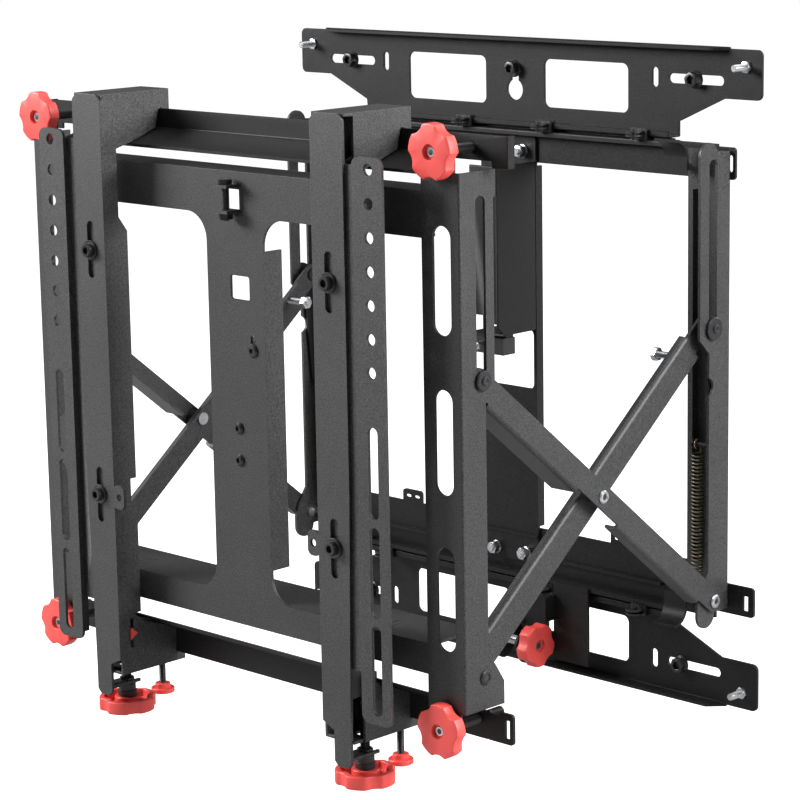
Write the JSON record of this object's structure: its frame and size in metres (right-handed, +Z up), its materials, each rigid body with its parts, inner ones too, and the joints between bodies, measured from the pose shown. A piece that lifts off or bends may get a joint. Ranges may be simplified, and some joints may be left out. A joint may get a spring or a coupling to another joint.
{
  "type": "video wall mount",
  "caption": "Pop-out video wall mount: wall plates, sliding carriage, scissor arms, display rails with red adjusting knobs and slotted display arms",
  "frame": {"origin": "middle between the keyholes of the two wall plates, on their wall face", "axes": "+X along the wall to the right as seen from the room, +Y into the wall, +Z up"},
  "size_m": [0.529, 0.3682, 0.548],
  "materials": {
    "coat_wall": "fine textured black powder coat",
    "coat_frame": "satin black powder coat",
    "coat_arm": "coarse textured black powder coat",
    "red_plastic": "moulded red plastic",
    "black_plastic": "moulded black plastic",
    "zinc": "bright zinc plate",
    "black_zinc": "black zinc fastener",
    "spring_wire": "yellow passivated spring wire"
  },
  "bodies": {
    "wall": {"wall_plate_top": "coat_wall", "wall_plate_bottom": "coat_wall", "wall_bolts": "black_zinc", "levelling_studs": "zinc"},
    "carriage": {"back_rail_top": "coat_frame", "back_rail_bottom": "coat_frame", "glide_clips": "black_plastic", "centre_spine": "coat_frame", "spine_nuts": "zinc", "latch_housing": "coat_frame", "latch_block": "black_plastic", "latch_screws": "zinc", "wall_upright_left": "coat_frame", "wall_upright_right": "coat_frame", "corner_hoods": "coat_frame", "lock_bracket": "coat_frame", "wall_pivot_pins": "zinc", "springs": "spring_wire"},
    "latch": {"latch_plunger": "zinc"},
    "side_lock": {"lock_knob": "red_plastic", "lock_screw": "zinc"},
    "arms_a": {"arm_a_left": "coat_frame", "arm_a_right": "coat_frame", "centre_pins": "zinc", "front_slot_pins": "black_zinc"},
    "arms_b": {"arm_b_left": "coat_frame", "arm_b_right": "coat_frame", "wall_slot_pins": "black_zinc"},
    "links": {"spring_links": "coat_frame"},
    "spring_ends": {"spring_eyes": "spring_wire"},
    "front": {"front_upright_left": "coat_frame", "front_upright_right": "coat_frame", "cross_frame": "coat_frame", "frame_screws": "black_zinc", "level_bolt": "black_zinc", "front_pivot_pins": "black_zinc"},
    "rails": {"display_rail_top": "coat_frame", "display_rail_bottom": "coat_frame"},
    "depth_tl": {"depth_knob_tl": "red_plastic", "depth_screw_tl": "black_zinc"},
    "depth_tr": {"depth_knob_tr": "red_plastic", "depth_screw_tr": "black_zinc"},
    "depth_bl": {"depth_knob_bl": "red_plastic", "depth_screw_bl": "black_zinc"},
    "depth_br": {"depth_knob_br": "red_plastic", "depth_screw_br": "black_zinc"},
    "hook_left": {"hook_bracket_left": "coat_arm"},
    "display_arm_left": {"adapter_left": "coat_arm", "clamp_screws_left": "zinc", "height_nut_left": "black_plastic"},
    "height_left": {"height_screw_left": "black_zinc", "height_knob_left": "red_plastic"},
    "clamp_left": {"rail_lock_left": "red_plastic"},
    "hook_right": {"hook_bracket_right": "coat_arm"},
    "display_arm_right": {"adapter_right": "coat_arm", "clamp_screws_right": "zinc", "height_nut_right": "black_plastic"},
    "height_right": {"height_screw_right": "black_zinc", "height_knob_right": "red_plastic"},
    "clamp_right": {"rail_lock_right": "red_plastic"}
  },
  "joints": [
    {"name": "side_shift", "type": "slide", "parent": "wall", "child": "carriage", "axis": [1, 0, 0], "range_m": [-0.02, 0.02]},
    {"name": "latch_push", "type": "slide", "parent": "carriage", "child": "latch", "axis": [0, 1, 0], "range_m": [0, 0.008], "stiffness_N_per_m": 600, "springref_m": -0.002},
    {"name": "side_lock_spin", "type": "hinge", "parent": "carriage", "child": "side_lock", "pos_m": [0.048, -0.042, -0.246], "axis": [1, 0, 0], "range_deg": [-360, 0]},
    {"name": "pull_out", "type": "hinge", "parent": "carriage", "child": "arms_a", "pos_m": [0, -0.0316, -0.175], "axis": [1, 0, 0], "range_deg": [-43.14, 0], "stiffness_Nm_per_rad": 4, "springref_deg": 11.46},
    {"name": "arms_cross", "type": "hinge", "parent": "arms_a", "child": "arms_b", "pos_m": [0, -0.1713, -0.062], "axis": [1, 0, 0], "range_deg": [0, 86.28]},
    {"name": "front_follow", "type": "hinge", "parent": "arms_b", "child": "front", "pos_m": [0, -0.311, -0.175], "axis": [1, 0, 0], "range_deg": [-43.14, 0]},
    {"name": "link_follow", "type": "hinge", "parent": "arms_b", "child": "links", "pos_m": [0, -0.0316, 0.051], "axis": [1, 0, 0], "range_deg": [-43.14, 0]},
    {"name": "spring_stretch", "type": "slide", "parent": "carriage", "child": "spring_ends", "axis": [0, 0, 1], "range_m": [0, 0.12996], "deforming": ["springs"]},
    {"name": "depth_slide", "type": "slide", "parent": "front", "child": "rails", "axis": [0, -1, 0], "range_m": [0, 0.02]},
    {"name": "depth_tl_spin", "type": "hinge", "parent": "front", "child": "depth_tl", "pos_m": [-0.226, -0.34, 0.2204], "axis": [0, 1, 0], "range_deg": [0, 5760]},
    {"name": "depth_tr_spin", "type": "hinge", "parent": "front", "child": "depth_tr", "pos_m": [0.226, -0.34, 0.2204], "axis": [0, 1, 0], "range_deg": [0, 5760]},
    {"name": "depth_bl_spin", "type": "hinge", "parent": "front", "child": "depth_bl", "pos_m": [-0.226, -0.34, -0.2135], "axis": [0, 1, 0], "range_deg": [0, 5760]},
    {"name": "depth_br_spin", "type": "hinge", "parent": "front", "child": "depth_br", "pos_m": [0.226, -0.34, -0.2135], "axis": [0, 1, 0], "range_deg": [0, 5760]},
    {"name": "hook_left_shift", "type": "slide", "parent": "rails", "child": "hook_left", "axis": [-1, 0, 0], "range_m": [-0.04, 0.04]},
    {"name": "height_left_spin", "type": "hinge", "parent": "hook_left", "child": "height_left", "pos_m": [-0.142, -0.338, -0.262], "axis": [0, 0, 1], "range_deg": [-2304, 2304]},
    {"name": "height_left_slide", "type": "slide", "parent": "hook_left", "child": "display_arm_left", "axis": [0, 0, 1], "range_m": [-0.008, 0.008]},
    {"name": "clamp_left_slide", "type": "slide", "parent": "hook_left", "child": "clamp_left", "axis": [0, 0, 1], "range_m": [-0.006, 0]},
    {"name": "hook_right_shift", "type": "slide", "parent": "rails", "child": "hook_right", "axis": [1, 0, 0], "range_m": [-0.04, 0.04]},
    {"name": "height_right_spin", "type": "hinge", "parent": "hook_right", "child": "height_right", "pos_m": [0.142, -0.338, -0.262], "axis": [0, 0, 1], "range_deg": [-2304, 2304]},
    {"name": "height_right_slide", "type": "slide", "parent": "hook_right", "child": "display_arm_right", "axis": [0, 0, 1], "range_m": [-0.008, 0.008]},
    {"name": "clamp_right_slide", "type": "slide", "parent": "hook_right", "child": "clamp_right", "axis": [0, 0, 1], "range_m": [-0.006, 0]}
  ],
  "couplings": [
    {"joint": "arms_cross", "follows": "pull_out", "ratio": -2},
    {"joint": "front_follow", "follows": "pull_out", "ratio": 1},
    {"joint": "link_follow", "follows": "pull_out", "ratio": 1},
    {"joint": "spring_stretch", "follows": "pull_out", "m_per_rad": -0.17259},
    {"joint": "depth_tl_spin", "follows": "depth_slide", "rad_per_m": 5026},
    {"joint": "depth_tr_spin", "follows": "depth_slide", "rad_per_m": 5026},
    {"joint": "depth_bl_spin", "follows": "depth_slide", "rad_per_m": 5026},
    {"joint": "depth_br_spin", "follows": "depth_slide", "rad_per_m": 5026},
    {"joint": "height_left_spin", "follows": "height_left_slide", "rad_per_m": 5026},
    {"joint": "height_right_spin", "follows": "height_right_slide", "rad_per_m": 5026}
  ]
}
